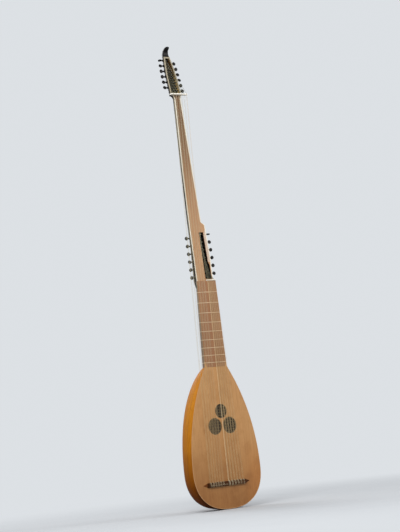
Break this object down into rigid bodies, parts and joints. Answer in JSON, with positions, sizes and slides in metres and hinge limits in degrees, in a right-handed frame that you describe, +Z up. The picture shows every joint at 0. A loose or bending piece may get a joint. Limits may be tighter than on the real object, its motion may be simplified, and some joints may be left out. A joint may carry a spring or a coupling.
{
  "type": "theorbo",
  "caption": "Long-necked bass lute with a ribbed bowl, latticed triple rose, tied frets and two pegboxes whose pegs turn, strung with stopped and open courses.",
  "frame": {"origin": "middle of the instrument's overall width and depth, at the height of the lowest point of the body", "axes": "+Z up along the strings, -Y the way the soundboard faces, +X towards the thin strings"},
  "size_m": [0.378, 0.198, 2.0883],
  "materials": {
    "varnished_ribs": "gloss",
    "spruce_soundboard": "satin",
    "carved_rose": "matte",
    "bridge_wood": "satin",
    "plain_softwood": "matte",
    "forged_iron": "rough",
    "ebony_veneer": "satin",
    "ebony_pegs": "satin",
    "fingerboard_wood": "satin",
    "neck_wood": "satin",
    "face_wood": "satin",
    "bone": "satin",
    "gut_strings": "satin",
    "gut_frets": "satin"
  },
  "bodies": {
    "instrument": {"bowl": "varnished_ribs", "end_clasp": "varnished_ribs", "soundboard": "spruce_soundboard", "rose": "carved_rose", "bridge": "bridge_wood", "neck_block": "plain_softwood", "neck_nail": "forged_iron", "neck": "neck_wood", "fingerboard": "fingerboard_wood", "extension": "ebony_veneer", "extension_face": "face_wood", "lower_nut": "bone", "upper_nut": "bone", "upper_pegbox": "ebony_veneer", "finial": "ebony_veneer", "fret_1": "gut_frets", "fret_2": "gut_frets", "fret_3": "gut_frets", "fret_4": "gut_frets", "fret_5": "gut_frets", "fret_6": "gut_frets", "fret_7": "gut_frets", "fret_8": "gut_frets", "fret_9": "gut_frets", "course_1": "gut_strings", "course_7": "gut_strings", "course_2": "gut_strings", "course_8": "gut_strings", "course_3": "gut_strings", "course_9": "gut_strings", "course_4": "gut_strings", "course_10": "gut_strings", "course_5": "gut_strings", "course_11": "gut_strings", "course_6": "gut_strings", "course_12": "gut_strings"},
    "upper_peg_1_body": {"upper_peg_1": "ebony_pegs"},
    "upper_peg_2_body": {"upper_peg_2": "ebony_pegs"},
    "upper_peg_3_body": {"upper_peg_3": "ebony_pegs"},
    "upper_peg_4_body": {"upper_peg_4": "ebony_pegs"},
    "upper_peg_5_body": {"upper_peg_5": "ebony_pegs"},
    "upper_peg_6_body": {"upper_peg_6": "ebony_pegs"},
    "upper_peg_7_body": {"upper_peg_7": "ebony_pegs"},
    "upper_peg_8_body": {"upper_peg_8": "ebony_pegs"},
    "upper_peg_9_body": {"upper_peg_9": "ebony_pegs"},
    "upper_peg_10_body": {"upper_peg_10": "ebony_pegs"},
    "upper_peg_11_body": {"upper_peg_11": "ebony_pegs"},
    "upper_peg_12_body": {"upper_peg_12": "ebony_pegs"},
    "lower_peg_1_body": {"lower_peg_1": "ebony_pegs"},
    "lower_peg_2_body": {"lower_peg_2": "ebony_pegs"},
    "lower_peg_3_body": {"lower_peg_3": "ebony_pegs"},
    "lower_peg_4_body": {"lower_peg_4": "ebony_pegs"},
    "lower_peg_5_body": {"lower_peg_5": "ebony_pegs"},
    "lower_peg_6_body": {"lower_peg_6": "ebony_pegs"},
    "lower_peg_7_body": {"lower_peg_7": "ebony_pegs"},
    "lower_peg_8_body": {"lower_peg_8": "ebony_pegs"},
    "lower_peg_9_body": {"lower_peg_9": "ebony_pegs"},
    "lower_peg_10_body": {"lower_peg_10": "ebony_pegs"},
    "lower_peg_11_body": {"lower_peg_11": "ebony_pegs"},
    "lower_peg_12_body": {"lower_peg_12": "ebony_pegs"}
  },
  "joints": [
    {"name": "upper_peg_1_turn", "type": "hinge", "parent": "instrument", "child": "upper_peg_1_body", "pos_m": [-0.0213, -0.06631, 1.88137], "axis": [1, 0, 0], "continuous": true},
    {"name": "upper_peg_2_turn", "type": "hinge", "parent": "instrument", "child": "upper_peg_2_body", "pos_m": [-0.08046, -0.06339, 1.89455], "axis": [1, 0, 0], "continuous": true},
    {"name": "upper_peg_3_turn", "type": "hinge", "parent": "instrument", "child": "upper_peg_3_body", "pos_m": [-0.02198, -0.06047, 1.90773], "axis": [1, 0, 0], "continuous": true},
    {"name": "upper_peg_4_turn", "type": "hinge", "parent": "instrument", "child": "upper_peg_4_body", "pos_m": [-0.07959, -0.05755, 1.92091], "axis": [1, 0, 0], "continuous": true},
    {"name": "upper_peg_5_turn", "type": "hinge", "parent": "instrument", "child": "upper_peg_5_body", "pos_m": [-0.02285, -0.05463, 1.93409], "axis": [1, 0, 0], "continuous": true},
    {"name": "upper_peg_6_turn", "type": "hinge", "parent": "instrument", "child": "upper_peg_6_body", "pos_m": [-0.07872, -0.05171, 1.94727], "axis": [1, 0, 0], "continuous": true},
    {"name": "upper_peg_7_turn", "type": "hinge", "parent": "instrument", "child": "upper_peg_7_body", "pos_m": [-0.02417, -0.04878, 1.96045], "axis": [1, 0, 0], "continuous": true},
    {"name": "upper_peg_8_turn", "type": "hinge", "parent": "instrument", "child": "upper_peg_8_body", "pos_m": [-0.07676, -0.04586, 1.97363], "axis": [1, 0, 0], "continuous": true},
    {"name": "upper_peg_9_turn", "type": "hinge", "parent": "instrument", "child": "upper_peg_9_body", "pos_m": [-0.02631, -0.04294, 1.98681], "axis": [1, 0, 0], "continuous": true},
    {"name": "upper_peg_10_turn", "type": "hinge", "parent": "instrument", "child": "upper_peg_10_body", "pos_m": [-0.07402, -0.04002, 1.99999], "axis": [1, 0, 0], "continuous": true},
    {"name": "upper_peg_11_turn", "type": "hinge", "parent": "instrument", "child": "upper_peg_11_body", "pos_m": [-0.02998, -0.0371, 2.01317], "axis": [1, 0, 0], "continuous": true},
    {"name": "upper_peg_12_turn", "type": "hinge", "parent": "instrument", "child": "upper_peg_12_body", "pos_m": [-0.06975, -0.03417, 2.02635], "axis": [1, 0, 0], "continuous": true},
    {"name": "lower_peg_1_turn", "type": "hinge", "parent": "instrument", "child": "lower_peg_1_body", "pos_m": [-0.05061, -0.06954, 1.0313], "axis": [1, 0, 0], "continuous": true},
    {"name": "lower_peg_2_turn", "type": "hinge", "parent": "instrument", "child": "lower_peg_2_body", "pos_m": [0.04205, -0.06954, 1.049], "axis": [1, 0, 0], "continuous": true},
    {"name": "lower_peg_3_turn", "type": "hinge", "parent": "instrument", "child": "lower_peg_3_body", "pos_m": [-0.05189, -0.06954, 1.0667], "axis": [1, 0, 0], "continuous": true},
    {"name": "lower_peg_4_turn", "type": "hinge", "parent": "instrument", "child": "lower_peg_4_body", "pos_m": [0.04109, -0.06954, 1.0844], "axis": [1, 0, 0], "continuous": true},
    {"name": "lower_peg_5_turn", "type": "hinge", "parent": "instrument", "child": "lower_peg_5_body", "pos_m": [-0.05316, -0.06954, 1.1021], "axis": [1, 0, 0], "continuous": true},
    {"name": "lower_peg_6_turn", "type": "hinge", "parent": "instrument", "child": "lower_peg_6_body", "pos_m": [0.04012, -0.06954, 1.1198], "axis": [1, 0, 0], "continuous": true},
    {"name": "lower_peg_7_turn", "type": "hinge", "parent": "instrument", "child": "lower_peg_7_body", "pos_m": [-0.05443, -0.06954, 1.1375], "axis": [1, 0, 0], "continuous": true},
    {"name": "lower_peg_8_turn", "type": "hinge", "parent": "instrument", "child": "lower_peg_8_body", "pos_m": [0.03757, -0.06954, 1.1552], "axis": [1, 0, 0], "continuous": true},
    {"name": "lower_peg_9_turn", "type": "hinge", "parent": "instrument", "child": "lower_peg_9_body", "pos_m": [-0.05571, -0.06954, 1.1729], "axis": [1, 0, 0], "continuous": true},
    {"name": "lower_peg_10_turn", "type": "hinge", "parent": "instrument", "child": "lower_peg_10_body", "pos_m": [0.03479, -0.06954, 1.1906], "axis": [1, 0, 0], "continuous": true},
    {"name": "lower_peg_11_turn", "type": "hinge", "parent": "instrument", "child": "lower_peg_11_body", "pos_m": [-0.05698, -0.06954, 1.2083], "axis": [1, 0, 0], "continuous": true},
    {"name": "lower_peg_12_turn", "type": "hinge", "parent": "instrument", "child": "lower_peg_12_body", "pos_m": [0.03201, -0.06954, 1.226], "axis": [1, 0, 0], "continuous": true}
  ]
}
